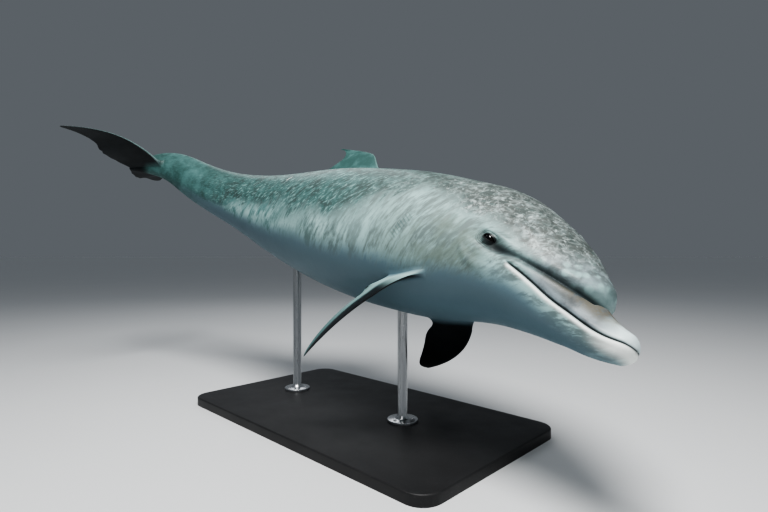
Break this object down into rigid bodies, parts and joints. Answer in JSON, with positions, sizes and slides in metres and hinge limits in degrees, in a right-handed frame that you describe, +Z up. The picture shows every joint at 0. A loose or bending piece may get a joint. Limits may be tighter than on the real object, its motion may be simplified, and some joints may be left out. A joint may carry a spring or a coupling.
{
  "type": "bottlenose dolphin model",
  "caption": "Still life-size bottlenose dolphin, banked in a gentle turn with its mouth closed, held over a flat base by two short rods.",
  "frame": {"origin": "on the floor under the middle of the body, on the underside of the stand's base", "axes": "+X is the way the middle of the body heads, level; +Y is to the animal's left; +Z is up"},
  "size_m": [2.4762, 0.995, 1.1064],
  "materials": {
    "flank_skin": "satin, as wet skin",
    "belly_skin": "satin, as wet skin",
    "cape_skin": "satin, as wet skin, dappled",
    "fin_skin": "satin, as wet skin",
    "eye": "polished",
    "base_board": "satin black paint",
    "rod_steel": "brushed"
  },
  "bodies": {
    "root": {"beak_upper": "flank_skin", "lower_jaw": "belly_skin", "melon": "cape_skin", "head": "cape_skin", "neck": "flank_skin", "chest": "flank_skin", "loin": "flank_skin", "tail": "flank_skin", "tail_stock": "cape_skin", "dorsal_fin": "fin_skin", "flipper_left": "fin_skin", "flipper_right": "fin_skin", "fluke_left": "fin_skin", "fluke_right": "fin_skin", "eye_left": "eye", "eye_right": "eye", "stand_base": "base_board", "stand_rod_front": "rod_steel", "stand_rod_rear": "rod_steel"}
  },
  "joints": []
}
